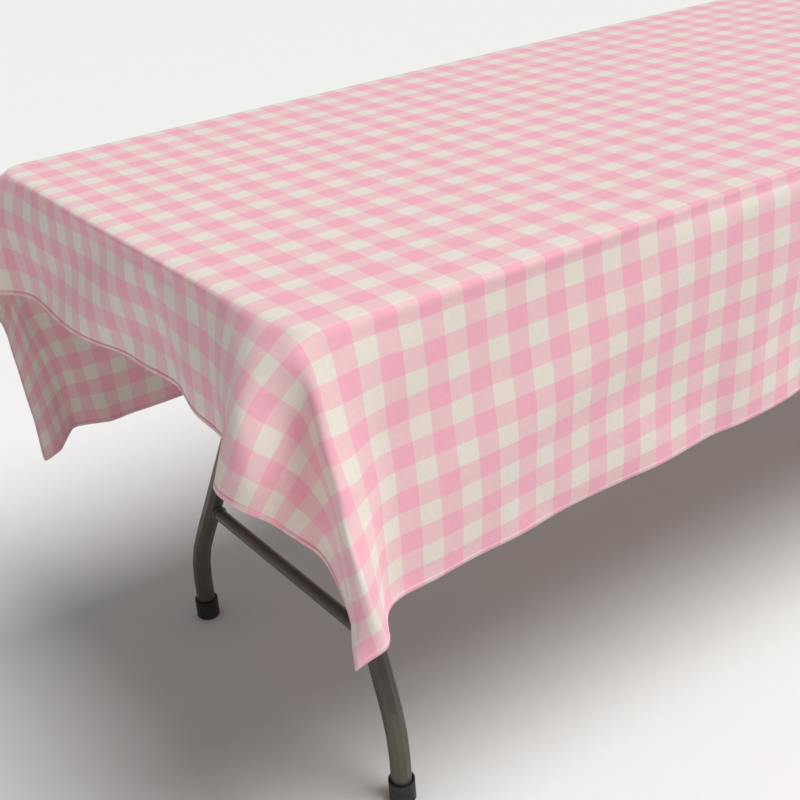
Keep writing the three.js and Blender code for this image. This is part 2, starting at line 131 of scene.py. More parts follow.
# Behind, one ridge stands out by the end and the rest hangs straight down in a tail.
BACK_FOLDS = (
    (42, 10, 18, 1, 39),
    (96, 34, 44, 0, 90),
    (170, -40, 14, -46, 168),
    (170, 10, 45, -22, 163),
    (170, 60, 84, 0, 154),
    (170, 130, 42, 12, 206),
    (170, 200, 32, 10, 256),
    (170, 300, 26, 8, 340),
    (170, 415, 20, 8, 440),
    (110, 415, -6, -4, 425),
    (96, 130, 26, 12, 158),
    (96, 250, 8, 8, 264),
    (50, 300, -14, 16, 300),
    (0, 200, -8, 14, 198),
    (0, 415, -44, 22, 411),
    (-60, 415, -78, 4, 412),
)


def srgb(text):
    """The linear colour of an sRGB hex value."""
    parts = [int(text[i : i + 2], 16) / 255 for i in (0, 2, 4)]
    return [c / 12.92 if c <= 0.04045 else ((c + 0.055) / 1.055) ** 2.4 for c in parts]


def colour(name, description, text):
    return FloatVectorProperty(
        name=name, description=description, default=srgb(text), size=3, min=0, max=1, subtype="COLOR"
    )


def length(name, description, default):
    return FloatProperty(name=name, description=description, default=default, min=0, unit="LENGTH")


class ClothSettings(bpy.types.PropertyGroup):
    side_drop: length("Front drop", "How far the cloth hangs down in front", 0.320)
    back_drop: length("Back drop", "How far the cloth hangs down behind", 0.425)
    end_drop: length("End drop", "How far the cloth hangs down at each end", 0.170)
    thickness: length("Thickness", "How thick the cloth is", 0.0007)
    clearance: length("Clearance", "From the table to the middle of the cloth", 0.0015)
    edge_radius: length("Edge radius", "How tightly the cloth turns over the edge", 0.008)
    hem_width: length("Hem width", "How wide the turned hem is", 0.0062)
    hem_thickness: length("Hem thickness", "How thick the turned hem is", 0.0014)
    stitch_pitch: length("Stitch pitch", "From one stitch of the hem to the next", 0.005)
    stitch_radius: length("Stitch radius", "Half the thickness of the sewing thread", 0.0003)
    stitch_inset: length("Stitch inset", "From the cloth's edge to its stitching", 0.0048)
    check_along: length("Check along", "Check size along the table", 0.0269)
    check_across: length("Check across", "Check size across the table", 0.0247)
    thread: length("Thread", "From one drawn thread to the next", 0.0014)
    steps: IntProperty(name="Settling steps", description="Frames of simulation", default=24, min=1)
    white: colour("White", "Undyed yarn", "EFE5DA")
    pink: colour("Pink", "Dyed yarn", "FAB4C5")


class TableSettings(bpy.types.PropertyGroup):
    paint: colour("Paint", "Hammered enamel on the steel", "665F56")
    plastic: colour("Plastic", "Moulded top", "D9D4C6")
    rubber: colour("Rubber", "Caps and plugs", "131214")
    zinc: colour("Zinc", "Plated screws and pins", "B9BCC0")
    weld_radius: length("Weld radius", "Half the width of a weld bead", 0.0024)


class StageSettings(bpy.types.PropertyGroup):
    floor: colour("Floor", "Floor of the studio", "F1F1F0")
    floor_size: length("Floor size", "Side of the floor", 30)
    sky: FloatProperty(name="Sky", description="Strength of the light all round", default=0.23, min=0)
    light: FloatProperty(name="Softbox", description="Strength of the soft light", default=2.75, min=0)
    camera_place: FloatVectorProperty(
        name="Camera place",
        description="Where the camera stands",
        default=(-1.4624, -1.3406, 1.2251),
        subtype="TRANSLATION",
    )
    camera_target: FloatVectorProperty(
        name="Camera target",
        description="The point in the middle of the view",
        default=(-0.9214, -0.5453, 0.737),
        subtype="TRANSLATION",
    )
    camera_roll: FloatProperty(
        name="Camera roll", description="Tilt of the view", default=math.radians(-4.1), subtype="ANGLE"
    )
    lens: FloatProperty(name="Lens", description="Focal length in mm", default=59.2, min=1)


def new_object(name, mesh):
    obj = bpy.data.objects.new(name, mesh)
    bpy.context.scene.collection.objects.link(obj)
    return obj


def mesh_from(name, shape):
    mesh = bpy.data.meshes.new(name)
    shape.to_mesh(mesh)
    shape.free()
    mesh.shade_smooth()
    return mesh


# The cloth


def spread(*parts):
    """Grid lines through (start, cells) pairs and a last place, evenly spaced within each pair."""
    lines = []
    for (start, cells), following in zip(parts[:-1], parts[1:]):
        end = following[0] if isinstance(following, tuple) else following
        lines += [start + (end - start) * i / cells for i in range(cells)]
    return np.array(lines + [parts[-1]])


def cloth_lines(half, low_drop, high_drop, turn, middle_cells, drop_cells):
    """Grid lines across the flat cloth: close together in the drops and where it turns down."""
    near_edge = 0.096
    edge_cells, turn_cells = 8, 2
    inside = half - near_edge
    return spread(
        (-half - low_drop, drop_cells[0]),
        (-half - turn, turn_cells),
        (-half + turn, edge_cells),
        (-inside, middle_cells),
        (inside, edge_cells),
        (half - turn, turn_cells),
        (half + turn, drop_cells[1]),
        half + high_drop,
    )


def turned_down(past, settings):
    """(out, down) from the table's edge for a distance past that edge on the flat cloth."""
    r = settings.edge_radius
    turn = math.pi / 4 * r
    start = settings.clearance - r
    angle = np.clip((past + turn) / r, 0, math.pi / 2)
    on_top = np.minimum(past + turn, 0)
    hanging = np.maximum(past - turn, 0)
    out = start + on_top + r * np.sin(angle) + hanging * math.sin(HANGING_LEAN)
    down = r * (1 - np.cos(angle)) + hanging * math.cos(HANGING_LEAN)
    return out, down


def past_edge(end_past, side_past):
    """How far past the table's edge, round its corners, a place of the flat cloth is."""
    end_reach = np.maximum(end_past + TOP_CORNER, 0)
    side_reach = np.maximum(side_past + TOP_CORNER, 0)
    past_corner = np.hypot(end_reach, side_reach) - TOP_CORNER
    return np.maximum(past_corner, np.maximum(end_past, side_past))


def thin_plate(places, values, wanted):
    """Smooth interpolation of values at scattered flat places, as a bent plate would take them."""
    tiny = 1e-12
    give = 1e-5

    def bend(a, b):
        r2 = ((a[:, None] - b[None]) ** 2).sum(2)
        return r2 * np.log(r2 + tiny)

    def level(a):
        return np.c_[np.ones(len(a)), a]

    n = len(places)
    whole = np.zeros((n + 3, n + 3))
    whole[:n, :n] = bend(places, places) + np.eye(n) * give
    whole[:n, n:] = level(places)
    whole[n:, :n] = level(places).T
    weights = np.linalg.solve(whole, np.r_[values, np.zeros((3, values.shape[1]))])
    return bend(wanted, places) @ weights[:n] + level(wanted) @ weights[n:]


def corner_guide(end_past, side_past, rows, side_drop, settings):
    """(out past end, out past side, down) of hanging cloth near one corner of the table."""
    folds = np.array(ROUND_CORNER + rows, float) * MM
    lowest = folds[:, 1].max()
    folds[:, 4] += np.clip(folds[:, 1] / lowest, 0, 1) * (side_drop - lowest)
    folds[:, 1] *= np.where(folds[:, 1] > 0, side_drop / lowest, 1)
    places = [folds[:, :2]]
    values = [folds[:, 2:]]

    def known(end, side):
        """Adds places that simply hang off the end or the side."""
        end, side = np.broadcast_arrays(np.asarray(end, float), np.asarray(side, float))
        out_end, down_end = turned_down(end, settings)
        out_side, down_side = turned_down(side, settings)
        places.append(np.c_[end, side])
        values.append(np.c_[out_end, out_side, down_end + down_side])

    along = np.linspace(-0.30, -0.04, 12)
    known(along, 0.0)
    known(0.0, along)
    for reach in np.linspace(0.02, side_drop, 8):
        known(np.linspace(-0.30, -0.13, 4), reach)
    for reach in np.linspace(0.02, settings.end_drop, 5):
        known(reach, np.linspace(-0.30, -0.17, 3))
    known(np.array([-0.1, -0.2, -0.05]), np.array([-0.1, -0.05, -0.2]))
    wanted = np.c_[end_past, side_past]
    return thin_plate(np.concatenate(places), np.concatenate(values), wanted)


def guide_shape(flat, settings):
    """Where each place of the flat cloth starts before it settles."""
    x, y = flat[:, 0], flat[:, 1]
    end_past = np.abs(x) - HALF_LENGTH
    side_past = np.abs(y) - HALF_WIDTH
    end_out, end_down = turned_down(end_past, settings)
    side_out, side_down = turned_down(side_past, settings)
    down = end_down + side_down
    for back in (False, True):
        drop = settings.back_drop if back else settings.side_drop
        rows = BACK_FOLDS if back else FRONT_FOLDS
        near = (y > 0) == back
        near &= (end_past > -FOLD_REACH - 0.02) & (side_past > -FOLD_REACH - 0.02)
        hanging = near & (past_edge(end_past, side_past) > HANGS_FROM)
        made = corner_guide(end_past[hanging], side_past[hanging], rows, drop, settings)
        # Away from the corner the guide gives way to cloth that simply hangs
        inward = -np.minimum(end_past[hanging], side_past[hanging])
        share = np.clip((FOLD_REACH - inward) / FOLD_FADE, 0, 1)[:, None]
        plain = np.c_[end_out, side_out, down][hanging]
        blended = plain * (1 - share) + made * share
        end_out[hanging], side_out[hanging], down[hanging] = blended.T
    top = TOP_HEIGHT + settings.clearance
    return np.c_[
        np.sign(x) * (HALF_LENGTH + end_out), np.sign(y) * (HALF_WIDTH + side_out), top - down
    ]


def waves(flat):
    """How far each hanging place starts out of its drop's plane, so that soft folds form."""
    out = np.zeros(len(flat))
    for i, (x, y) in enumerate(flat):
        past = max(abs(x) - HALF_LENGTH, abs(y) - HALF_WIDTH)
        if past > 0:
            at = Vector((x * WAVES_PER_METRE, y * WAVES_PER_METRE, 3.7))
            out[i] = WAVE_HEIGHT * past * (noise.noise(at) + 0.5 * noise.noise(at * 2.1))
    return out


def table_to_lie_on():
    """A closed copy of the table top for the cloth to rest against."""
    shape = bmesh.new()
    bmesh.ops.create_cube(shape, size=1)
    size = TOP_HIGH - TOP_LOW
    bmesh.ops.scale(shape, vec=size, verts=shape.verts)
    bmesh.ops.translate(shape, vec=(TOP_HIGH + TOP_LOW) / 2, verts=shape.verts)
    upright = [e for e in shape.edges if abs(e.verts[0].co.z - e.verts[1].co.z) > size.z / 2]
    bmesh.ops.bevel(
        shape, geom=upright, offset=TOP_CORNER, segments=4, affect="EDGES", profile=0.5, material=-1
    )
    obj = new_object("resting_shape", mesh_from("resting_shape", shape))
    obj.modifiers.new("Collision", "COLLISION")
    obj.collision.thickness_outer = 0.001
    obj.collision.cloth_friction = 5
    return obj


def settle(obj, flat, settings):
    """Lets the cloth hang under its own weight from the guide, cut to its flat size."""
    scene = bpy.context.scene
    obj.shape_key_add(name="Guide")
    cut = obj.shape_key_add(name="Cut flat")
    cut.data.foreach_set("co", np.c_[flat, np.zeros(len(flat))].ravel())
    held = obj.vertex_groups.new(name="Held")
    for i, (x, y) in enumerate(flat):
        end_past, side_past = abs(x) - HALF_LENGTH, abs(y) - HALF_WIDTH
        pinned = past_edge(end_past, side_past) < PINNED_WITHIN
        held.add([i], 1.0 if pinned else hold_share(end_past, side_past), "REPLACE")
    rest_on = table_to_lie_on()
    cloth = obj.modifiers.new("Drape", "CLOTH")
    made = cloth.settings
    made.quality = 8
    made.mass = 0.01
    made.air_damping = 2
    made.tension_stiffness = 40
    made.compression_stiffness = 40
    made.shear_stiffness = 12
    made.bending_stiffness = 0.02
    made.tension_damping = 10
    made.compression_damping = 10
    made.shear_damping = 10
    made.vertex_group_mass = "Held"
    made.pin_stiffness = 1
    made.rest_shape_key = cut
    cloth.collision_settings.use_collision = True
    cloth.collision_settings.distance_min = 0.001
    cloth.collision_settings.collision_quality = 2
    cloth.collision_settings.use_self_collision = False
    cloth.point_cache.frame_start = 1
    cloth.point_cache.frame_end = settings.steps
    for step in range(1, settings.steps + 1):
        scene.frame_set(step)
    seen = obj.evaluated_get(bpy.context.evaluated_depsgraph_get())
    places = np.zeros(len(flat) * 3)
    seen.data.vertices.foreach_get("co", places)
    scene.frame_set(1)
    obj.modifiers.remove(cloth)
    obj.shape_key_clear()
    bpy.data.objects.remove(rest_on)
    return places.reshape(-1, 3)


def hold_share(end_past, side_past):
    """How firmly a hanging place is held to the guide: most at the corner folds."""
    loose, firm = 0.02, 0.7
    fold_starts, fold_blend = -0.08, 0.02
    high_up = math.exp(-((max(end_past, side_past) - 0.1) ** 2) / 0.05)
    past_start = min(end_past, side_past) - fold_starts
    in_fold = 1 / (1 + math.exp(-past_start / fold_blend))
    return loose + firm * in_fold * high_up


def sheet_base(settings):
    """The flat grid of the cloth as a mesh at its guide shape, with its flat places."""
    turn = math.pi / 4 * settings.edge_radius
    end_drop = settings.end_drop
    u = cloth_lines(HALF_LENGTH, end_drop, end_drop, turn, middle_cells=68, drop_cells=(14, 14))
    side_drop, back_drop = settings.side_drop, settings.back_drop
    v = cloth_lines(HALF_WIDTH, side_drop, back_drop, turn, middle_cells=14, drop_cells=(26, 34))
    shape = bmesh.new()
    bmesh.ops.create_grid(shape, x_segments=len(u) - 1, y_segments=len(v) - 1, size=0.5)
    layer = shape.loops.layers.uv.new("Flat")
    for vert in shape.verts:
        i = round((vert.co.x + 0.5) * (len(u) - 1))
        j = round((vert.co.y + 0.5) * (len(v) - 1))
        vert.co = (u[i], v[j], 0)
    for face in shape.faces:
        for loop in face.loops:
            loop[layer].uv = loop.vert.co.xy
    flat = np.array([vert.co.xy for vert in shape.verts])
    start = guide_shape(flat, settings)
    bumps = waves(flat)
    end_past = np.abs(flat[:, 0]) - HALF_LENGTH
    side_past = np.abs(flat[:, 1]) - HALF_WIDTH
    on_end = end_past > side_past
    start[:, 0] += np.where(on_end, np.sign(flat[:, 0]) * np.abs(bumps), 0)
    start[:, 1] += np.where(on_end, 0, np.sign(flat[:, 1]) * np.abs(bumps))
    for vert, place in zip(shape.verts, start):
        vert.co = place
    return shape, flat


class CLOTH_OT_sheet(bpy.types.Operator):
    """Cuts the cloth, lays it over the table and lets it settle"""

    bl_idname = "cloth.sheet"
    bl_label = "Lay the cloth"

    def execute(self, context):
        settings = context.scene.cloth_settings
        shape, flat = sheet_base(settings)
        sheet = new_object("tablecloth_sheet", mesh_from("tablecloth_sheet", shape))
        places = settle(sheet, flat, settings)
        sheet.data.vertices.foreach_set("co", places.ravel())
        smooth = sheet.modifiers.new("Smooth", "SUBSURF")
        smooth.levels = smooth.render_levels = 1
        smooth.uv_smooth = "NONE"
        graph = context.evaluated_depsgraph_get()
        graph.update()
        finer = bpy.data.meshes.new_from_object(sheet.evaluated_get(graph))
        sheet.modifiers.clear()
        sheet.data = finer
        keep_clear(finer, settings.clearance - settings.thickness / 2)
        thicken(sheet, settings.thickness)
        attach(sheet, "tablecloth")
        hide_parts(*[name for name in CLOTH_NODES if name.startswith("cloth_")])
        sheet.data.materials.append(gingham(settings))
        return {"FINISHED"}


def keep_clear(mesh, gap):
    """Lifts a sheet off the table top wherever it would touch."""
    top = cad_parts["tabletop"].data
    faces = [face.vertices for face in top.polygons]
    tree = BVHTree.FromPolygons([vert.co for vert in top.vertices], faces)
    for vert in mesh.vertices:
        near, normal, _, _ = tree.find_nearest(vert.co, 4 * gap)
        if near is not None:
            height = (vert.co - near).dot(normal)
            vert.co += normal * max(gap - height, 0)


def thicken(obj, thickness):
    """Gives a sheet its thickness, half to each side."""
    wall = obj.modifiers.new("Thickness", "SOLIDIFY")
    wall.thickness = thickness
    wall.offset = 0


def cloth_size(settings):
    """The lowest and highest corner of the flat cloth."""
    end = HALF_LENGTH + settings.end_drop
    low = Vector((-end, -HALF_WIDTH - settings.side_drop))
    return low, Vector((end, HALF_WIDTH + settings.back_drop))


class CLOTH_OT_hem(bpy.types.Operator):
    """Turns a double hem all round the cloth"""

    bl_idname = "cloth.hem"
    bl_label = "Turn the hem"

    def execute(self, context):
        settings = context.scene.cloth_settings
        low, high = cloth_size(settings)
        shape = bmesh.new()
        shape.from_mesh(bpy.data.objects["tablecloth_sheet"].data)
        layer = shape.loops.layers.uv["Flat"]
        inner = []
        for face in shape.faces:
            middle = sum((loop[layer].uv for loop in face.loops), Vector((0, 0))) / len(face.loops)
            inset = min(*(middle - low), *(high - middle))
            if inset > settings.hem_width:
                inner.append(face)
        bmesh.ops.delete(shape, geom=inner, context="FACES")
        hem = new_object("tablecloth_hem", mesh_from("tablecloth_hem", shape))
        thicken(hem, settings.hem_thickness)
        hem.data.materials.clear()
        hem.data.materials.append(gingham(settings))
        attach(hem, "tablecloth")
        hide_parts(*[name for name in CLOTH_NODES if name.startswith("hem_")])
        return {"FINISHED"}


def border_places(settings):
    """Flat places along the stitching line, one for each stitch."""
    low, high = cloth_size(settings)
    inset = Vector((settings.stitch_inset, settings.stitch_inset))
    low, high = low + inset, high - inset
    corners = [low, Vector((high.x, low.y)), high, Vector((low.x, high.y))]
    places = []
    for start, end in zip(corners, corners[1:] + corners[:1]):
        count = round((end - start).length / settings.stitch_pitch)
        places += [start.lerp(end, i / count) for i in range(count)]
    return places


def on_sheet(mesh, places):
    """The place and the normal on a sheet of each flat place."""
    layer = mesh.uv_layers["Flat"].data
    flat, hung, faces = [], [], []
    for face in mesh.polygons:
        faces.append(range(len(flat), len(flat) + face.loop_total))
        for loop in face.loop_indices:
            flat.append((*layer[loop].uv, 0))
            hung.append(mesh.vertices[mesh.loops[loop].vertex_index].co)
    tree = BVHTree.FromPolygons(flat, faces)
    found = []
    for place in places:
        near, _, index, _ = tree.find_nearest((*place, 0))
        around = faces[index]
        weights = poly_3d_calc([Vector(flat[i]) for i in around], near)
        at = sum((hung[i] * share for i, share in zip(around, weights)), Vector())
        found.append((at, mesh.polygons[index].normal.copy()))
    return found


def stitch(shape, at, following, normal, settings):
    """One stitch on each side of the hem, as a long bead of thread."""
    filled = 0.44  # half the share of the pitch that is thread, the rest is the hole
    along = following - at
    turn = Matrix((normal.cross(along).normalized(), normal, along.normalized())).transposed()
    radius = settings.stitch_radius
    stretched = Matrix.Diagonal((radius, radius, along.length * filled, 1))
    for side in (-1, 1):
        middle = (at + following) / 2 + side * normal * settings.hem_thickness / 2
        matrix = Matrix.Translation(middle) @ turn.to_4x4() @ stretched
        bmesh.ops.create_uvsphere(shape, u_segments=5, v_segments=4, radius=1, matrix=matrix)


class CLOTH_OT_stitching(bpy.types.Operator):
    """Sews the hem down with a lockstitch that shows on both sides"""

    bl_idname = "cloth.stitching"
    bl_label = "Sew the hem"

    def execute(self, context):
        settings = context.scene.cloth_settings
        found = on_sheet(bpy.data.objects["tablecloth_sheet"].data, border_places(settings))
        gaps = list(zip(found, found[1:] + found[:1]))
        shape = bmesh.new()
        # Sewn in short runs, because a mesh grows slower the larger it is
        for start in range(0, len(gaps), STITCH_RUN):
            run = bmesh.new()
            for (at, normal), (following, _) in gaps[start : start + STITCH_RUN]:
                stitch(run, at, following, normal, settings)
            sewn = mesh_from("run", run)
            shape.from_mesh(sewn)
            bpy.data.meshes.remove(sewn)
        thread = new_object("hem_stitching", mesh_from("hem_stitching", shape))
        thread.data.materials.append(sewing_thread(settings))
        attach(thread, "tablecloth")
        return {"FINISHED"}


# The table


def ring(shape, middle, axis, radius, bead):
    """A round bead of weld about an axis."""
    side = axis.orthogonal().normalized()
    made = bmesh.ops.create_circle(shape, segments=8, radius=bead)
    face_round = Matrix((side, axis, side.cross(axis))).transposed().to_4x4()
    place = Matrix.Translation(middle + side * radius) @ face_round
    bmesh.ops.transform(shape, matrix=place, verts=made["verts"])
    edges = list({edge for vert in made["verts"] for edge in vert.link_edges})
    bmesh.ops.spin(
        shape,
        geom=made["verts"] + edges,
        cent=middle,
        axis=axis,
        angle=2 * math.pi,
        steps=28,
        use_merge=True,
    )


class CLOTH_OT_welds(bpy.types.Operator):
    """Runs a bead of weld round each end of the crossbars and each leg's head"""

    bl_idname = "cloth.welds"
    bl_label = "Weld the leg frames"

    def execute(self, context):
        settings = context.scene.table_settings
        bead = settings.weld_radius
        for end in ("left", "right"):
            shape = bmesh.new()
            for bar in ("crossbar_low_", "crossbar_high_"):
                low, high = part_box(bar + end)
                radius = (high.z - low.z) / 2
                for y in (low.y + bead / 2, high.y - bead / 2):
                    middle = Vector(((low.x + high.x) / 2, y, (low.z + high.z) / 2))
                    ring(shape, middle, Vector((0, 1, 0)), radius, bead)
            tube_low, tube_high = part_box("pivot_tube_" + end)
            leg_radius = (tube_high.z - tube_low.z) / 2 * LEG_TO_PIVOT
            for side in ("front_", "back_"):
                low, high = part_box("leg_" + side + end)
                outside = high.y if side == "back_" else low.y
                y = outside - math.copysign(leg_radius, outside)
                middle = Vector(((tube_low.x + tube_high.x) / 2, y, high.z + bead / 2))
                ring(shape, middle, Vector((0, 0, 1)), leg_radius * 0.86, bead * 1.4)
            bmesh.ops.remove_doubles(shape, verts=shape.verts, dist=1e-6)
            bmesh.ops.recalc_face_normals(shape, faces=shape.faces)
            name = "weld_beads_" + end
            welds = new_object(name, mesh_from(name, shape))
            welds.data.materials.append(bpy.data.materials["hammered_enamel_on_steel"])
            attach(welds, "leg_frame_" + end)
        return {"FINISHED"}


# Materials


def node(tree, kind, inputs=None, **values):
    """Adds a node with its settings, its values and its links."""
    made = tree.nodes.new(kind)
    for key, value in values.items():
        setattr(made, key, value)
    for key, value in (inputs or {}).items():
        if isinstance(value, bpy.types.NodeSocket):
            tree.links.new(value, made.inputs[key])
        else:
            made.inputs[key].default_value = value
    return made


def material(name):
    """A new material and its node tree, with the surface shader."""
    made = bpy.data.materials.new(name)
    made.use_nodes = True
    tree = made.node_tree
    return made, tree, tree.nodes["Principled BSDF"]


def math_node(tree, operation, first, second=0.0):
    return node(tree, "ShaderNodeMath", {0: first, 1: second}, operation=operation).outputs[0]


def mixed(tree, factor, first, second, blend="MIX"):
    inputs = {0: factor, 6: first, 7: second}
    made = node(tree, "ShaderNodeMix", inputs, data_type="RGBA", blend_type=blend)
    return made.outputs[2]


def gingham(settings):
    """Plain-woven polyester gingham, yarn dyed: matt, with soft-edged checks of mingled thread."""
    made, tree, skin = material("woven_polyester_gingham")
    flat = node(tree, "ShaderNodeUVMap", uv_map="Flat").outputs[0]
    wander = node(tree, "ShaderNodeTexNoise", {"Vector": flat, "Scale": 9.0, "Detail": 2.0})
    centred = {0: wander.outputs[1], 1: (0.5, 0.5, 0.5)}
    offset = node(tree, "ShaderNodeVectorMath", centred, operation="SUBTRACT")
    moved = node(tree, "ShaderNodeVectorMath", {0: offset.outputs[0], 3: 0.003}, operation="SCALE")
    place = node(tree, "ShaderNodeVectorMath", {0: flat, 1: moved.outputs[0]}, operation="ADD")
    split = node(tree, "ShaderNodeSeparateXYZ", {0: place.outputs[0]})
    bands = []
    threads = []
    sides = (
        (split.outputs[0], settings.check_along, -HALF_LENGTH + 0.0118),
        (split.outputs[1], settings.check_across, -HALF_WIDTH + 0.0142),
    )
    for value, check, centre in sides:
        turns = math_node(tree, "DIVIDE", math_node(tree, "SUBTRACT", value, centre), 2 * check)
        wave = math_node(tree, "COSINE", math_node(tree, "MULTIPLY", turns, 2 * math.pi))
        blur = {0: wave, 1: 0.09, 2: -0.09}
        edge = node(tree, "ShaderNodeMapRange", blur, interpolation_type="SMOOTHSTEP")
        bands.append(edge.outputs[0])
        thread = math_node(tree, "MULTIPLY", value, 2 * math.pi / settings.thread)
        threads.append(math_node(tree, "SINE", thread))
    both = math_node(tree, "MULTIPLY", math_node(tree, "ADD", bands[0], bands[1]), 0.5)
    # Over and under: where both yarns cross, one of them shows more
    over = math_node(tree, "MULTIPLY", threads[0], threads[1])
    which = math_node(tree, "SUBTRACT", bands[0], bands[1])
    mingled = math_node(tree, "MULTIPLY", math_node(tree, "MULTIPLY", over, which), 0.07)
    dyed = math_node(tree, "ADD", math_node(tree, "POWER", both, 0.8), mingled)
    uneven = node(tree, "ShaderNodeTexNoise", {"Vector": flat, "Scale": 160.0, "Detail": 3.0})
    slubs = node(tree, "ShaderNodeMapRange", {0: uneven.outputs[0], 3: 0.94, 4: 1.06})
    ramp = node(tree, "ShaderNodeMapRange", {0: dyed, 1: 0.0, 2: 1.0})
    shade = mixed(tree, ramp.outputs[0], (*settings.white, 1), (*settings.pink, 1))
    grey = node(tree, "ShaderNodeCombineColor", {i: slubs.outputs[0] for i in range(3)})
    shade = mixed(tree, 1.0, shade, grey.outputs[0], "MULTIPLY")
    # Threads 0.4 mm apart are too fine to show, so they are drawn 1.4 mm apart
    weave = math_node(tree, "ADD", over, math_node(tree, "MULTIPLY", uneven.outputs[0], 1.2))
    bump = node(tree, "ShaderNodeBump", {"Height": weave, "Strength": 0.35, "Distance": 0.00025})
    tree.links.new(shade, skin.inputs["Base Color"])
    tree.links.new(bump.outputs[0], skin.inputs["Normal"])
    skin.inputs["Roughness"].default_value = 0.82
    skin.inputs["Specular IOR Level"].default_value = 0.3
    skin.inputs["Sheen Weight"].default_value = 0.25
    skin.inputs["Sheen Roughness"].default_value = 0.45
    return made


def sewing_thread(settings):
    """Spun polyester sewing thread: off-white and softly fibrous."""
    made, tree, skin = material("spun_polyester_thread")
    place = node(tree, "ShaderNodeTexCoord").outputs["Object"]
    fibres = node(tree, "ShaderNodeTexNoise", {"Vector": place, "Scale": 900.0, "Detail": 2.0})
    dark = [c * 0.85 for c in settings.white]
    shade = mixed(tree, fibres.outputs[0], (*dark, 1), (*settings.white, 1))
    height = {"Height": fibres.outputs[0], "Strength": 0.3, "Distance": 0.0001}
    bump = node(tree, "ShaderNodeBump", height)
    tree.links.new(shade, skin.inputs["Base Color"])
    tree.links.new(bump.outputs[0], skin.inputs["Normal"])
    skin.inputs["Roughness"].default_value = 0.7
    skin.inputs["Sheen Weight"].default_value = 0.2
    return made


def hammered_enamel(settings):
    """Hammered enamel sprayed on steel: warm grey-brown, with small glossy dimples."""
    made, tree, skin = material("hammered_enamel_on_steel")
    place = node(tree, "ShaderNodeTexCoord").outputs["Object"]
    dimples = {"Vector": place, "Scale": 420.0}
    cells = node(tree, "ShaderNodeTexVoronoi", dimples, feature="SMOOTH_F1")
    patches = node(tree, "ShaderNodeTexNoise", {"Vector": place, "Scale": 28.0, "Detail": 4.0})
    amount = node(tree, "ShaderNodeMapRange", {0: patches.outputs[0], 1: 0.3, 2: 0.7})
    dark = [c * 0.72 for c in settings.paint]
    shade = mixed(tree, amount.outputs[0], (*dark, 1), (*settings.paint, 1))
    height = {"Height": cells.outputs[0], "Strength": 0.5, "Distance": 0.0004}
    bump = node(tree, "ShaderNodeBump", height)
    gloss = node(tree, "ShaderNodeMapRange", {0: patches.outputs[0], 3: 0.3, 4: 0.48})
    tree.links.new(shade, skin.inputs["Base Color"])
    tree.links.new(bump.outputs[0], skin.inputs["Normal"])
    tree.links.new(gloss.outputs[0], skin.inputs["Roughness"])
    skin.inputs["Metallic"].default_value = 0.35
    return made


def moulded_plastic(settings):
    """Blow-moulded polyethylene: off-white, satin, with the fine pebble of its mould."""
    made, tree, skin = material("blow_moulded_polyethylene")
    place = node(tree, "ShaderNodeTexCoord").outputs["Object"]
    pebble = node(tree, "ShaderNodeTexNoise", {"Vector": place, "Scale": 700.0, "Detail": 3.0})
    broad = node(tree, "ShaderNodeTexNoise", {"Vector": place, "Scale": 14.0, "Detail": 3.0})
    dark = [c * 0.86 for c in settings.plastic]
    shade = mixed(tree, broad.outputs[0], (*dark, 1), (*settings.plastic, 1))
    height = {"Height": pebble.outputs[0], "Strength": 0.4, "Distance": 0.0003}
    bump = node(tree, "ShaderNodeBump", height)
    tree.links.new(shade, skin.inputs["Base Color"])
    tree.links.new(bump.outputs[0], skin.inputs["Normal"])
    skin.inputs["Roughness"].default_value = 0.5
    skin.inputs["IOR"].default_value = 1.51
    return made


def moulded_rubber(settings):
    """Injection-moulded black vinyl: nearly black, satin, scuffed paler in places."""
    made, tree, skin = material("moulded_black_vinyl")
    place = node(tree, "ShaderNodeTexCoord").outputs["Object"]
    scuffs = node(tree, "ShaderNodeTexNoise", {"Vector": place, "Scale": 90.0, "Detail": 6.0})
    amount = node(tree, "ShaderNodeMapRange", {0: scuffs.outputs[0], 1: 0.52, 2: 0.75})
    pale = [c + 0.02 for c in settings.rubber]
    shade = mixed(tree, amount.outputs[0], (*settings.rubber, 1), (*pale, 1))
    height = {"Height": scuffs.outputs[0], "Strength": 0.25, "Distance": 0.0003}
    bump = node(tree, "ShaderNodeBump", height)
    gloss = node(tree, "ShaderNodeMapRange", {0: scuffs.outputs[0], 3: 0.42, 4: 0.62})
    tree.links.new(shade, skin.inputs["Base Color"])
    tree.links.new(bump.outputs[0], skin.inputs["Normal"])
    tree.links.new(gloss.outputs[0], skin.inputs["Roughness"])
    skin.inputs["IOR"].default_value = 1.52
    return made


def zinc_plate(settings):
    """Zinc-plated steel: bright grey metal with a faint uneven bloom."""
    made, tree, skin = material("zinc_plated_steel")
    place = node(tree, "ShaderNodeTexCoord").outputs["Object"]
    bloom = node(tree, "ShaderNodeTexNoise", {"Vector": place, "Scale": 220.0, "Detail": 5.0})
    dark = [c * 0.7 for c in settings.zinc]
    shade = mixed(tree, bloom.outputs[0], (*dark, 1), (*settings.zinc, 1))
    gloss = node(tree, "ShaderNodeMapRange", {0: bloom.outputs[0], 3: 0.25, 4: 0.5})
    tree.links.new(shade, skin.inputs["Base Color"])
    tree.links.new(gloss.outputs[0], skin.inputs["Roughness"])
    skin.inputs["Metallic"].default_value = 1
    return made


